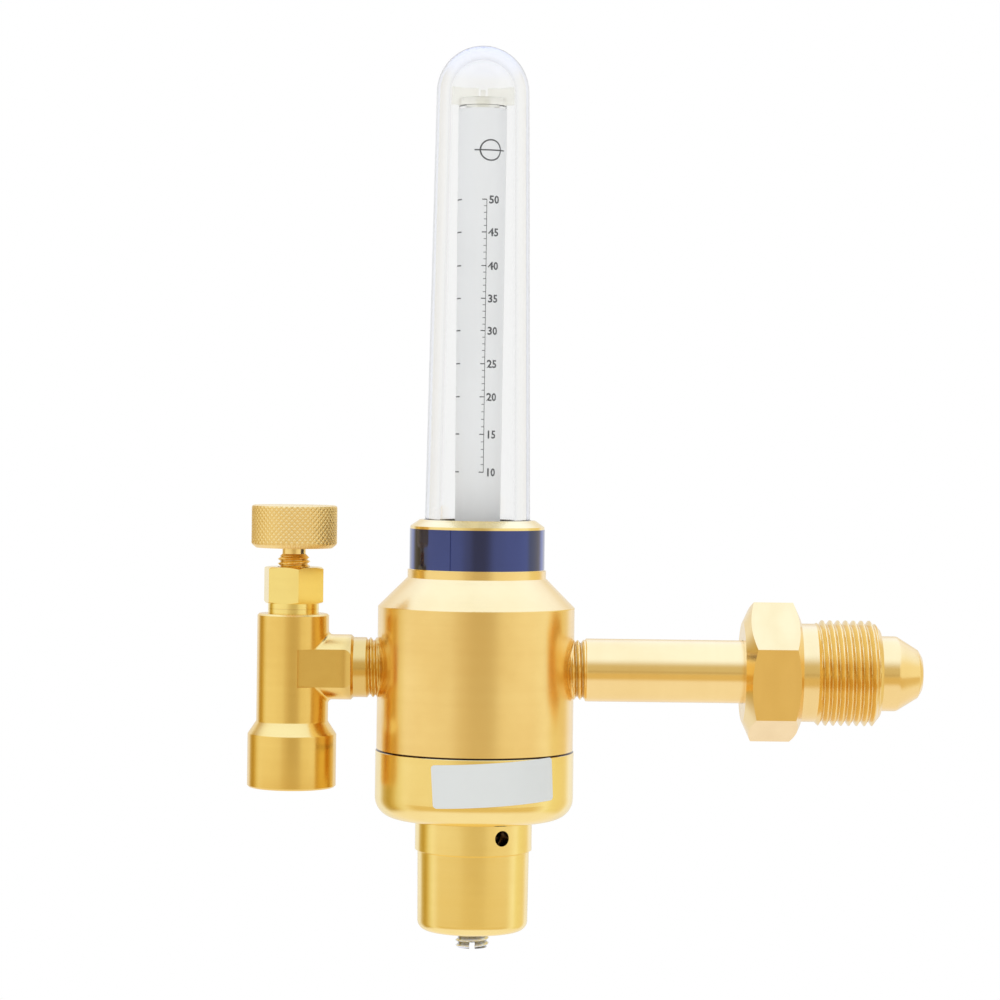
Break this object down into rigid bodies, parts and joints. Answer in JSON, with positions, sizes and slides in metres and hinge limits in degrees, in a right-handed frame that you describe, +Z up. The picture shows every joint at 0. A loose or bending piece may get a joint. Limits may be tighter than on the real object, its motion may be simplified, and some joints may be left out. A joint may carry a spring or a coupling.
{
  "type": "gas flowmeter regulator",
  "caption": "Brass gas regulator with a float-ball flow tube under a clear dome, a needle valve with hose socket, and a cylinder inlet nut and stem.",
  "frame": {"origin": "on the inlet axis, at the middle of the inlet nut's male thread", "axes": "+X along the inlet axis towards the cylinder, +Z up along the flow tube, front at -Y"},
  "size_m": [0.1562, 0.0461, 0.2088],
  "materials": {
    "brass": "fine turned, bright",
    "brass_tee": "satin, lightly tumbled",
    "brass_knurled": "diamond knurled",
    "brass_inner": "turned",
    "plated_steel": "zinc plated",
    "spring_steel": "drawn wire",
    "rubber": "matt",
    "seat_plastic": "matt",
    "copper": "soft copper",
    "clear_dome": "clear, polished",
    "clear_tube": "clear, polished",
    "white_film": "printed, smooth",
    "stop_plastic": "moulded",
    "ball_black": "polished",
    "band_blue": "glossy film",
    "blank_white": "plain label stock",
    "sintered": "sintered bronze"
  },
  "bodies": {
    "regulator": {"regulator_body": "brass", "bonnet": "brass", "range_spring": "spring_steel", "diaphragm": "rubber", "slip_ring": "plated_steel", "valve_nozzle": "brass_inner", "nozzle_gasket": "copper", "poppet_spring": "spring_steel", "dome_collar": "brass", "label_band": "band_blue", "dome": "clear_dome", "dome_oring": "rubber", "metering_tube": "clear_tube", "scale_film": "white_film", "tube_oring": "rubber", "tube_stop": "stop_plastic", "valve_body": "brass_tee", "valve_gland": "brass", "inlet_stem": "brass", "inlet_filter": "sintered", "blank_label": "blank_white"},
    "inlet_nut": {"inlet_nut": "brass"},
    "float_ball": {"float_ball": "ball_black"},
    "stem_seal": {"stem_oring": "rubber"},
    "valve_handle": {"needle_stem": "brass", "valve_knob": "brass_knurled"},
    "spring_seat": {"spring_button": "plated_steel"},
    "adjusting_screw": {"adjusting_screw": "plated_steel"},
    "diaphragm_plate": {"diaphragm_plate": "brass_inner"},
    "poppet": {"poppet": "brass_inner", "poppet_seat": "seat_plastic"}
  },
  "joints": [
    {"name": "valve_lift", "type": "slide", "parent": "regulator", "child": "stem_seal", "axis": [0, 0, 1], "range_m": [0, 0.00317]},
    {"name": "knob_turn", "type": "hinge", "parent": "stem_seal", "child": "valve_handle", "pos_m": [-0.12775, 0, 0.02], "axis": [0, 0, 1], "range_deg": [0, 1080]},
    {"name": "button_lift", "type": "slide", "parent": "regulator", "child": "spring_seat", "axis": [0, 0, 1], "range_m": [-0.00125, 0.0025], "deforming": ["range_spring"]},
    {"name": "screw_turn", "type": "hinge", "parent": "spring_seat", "child": "adjusting_screw", "pos_m": [-0.08535, 0, -0.058], "axis": [0, 0, 1], "range_deg": [-360, 720]},
    {"name": "diaphragm_travel", "type": "slide", "parent": "regulator", "child": "diaphragm_plate", "axis": [0, 0, 1], "range_m": [-0.0006, 0], "stiffness_N_per_m": 500, "springref_m": 0.002, "deforming": ["diaphragm"]},
    {"name": "poppet_travel", "type": "slide", "parent": "regulator", "child": "poppet", "axis": [0, 0, 1], "range_m": [-0.0006, 0], "deforming": ["poppet_spring"]},
    {"name": "ball_float", "type": "slide", "parent": "regulator", "child": "float_ball", "axis": [0, 0, 1], "range_m": [0, 0.093]},
    {"name": "nut_spin", "type": "hinge", "parent": "regulator", "child": "inlet_nut", "pos_m": [0, 0, 0], "axis": [1, 0, 0], "continuous": true}
  ],
  "couplings": [
    {"joint": "knob_turn", "follows": "valve_lift", "rad_per_m": 5936.9},
    {"joint": "screw_turn", "follows": "button_lift", "rad_per_m": 5026.5},
    {"joint": "poppet_travel", "follows": "diaphragm_travel", "ratio": 1}
  ]
}
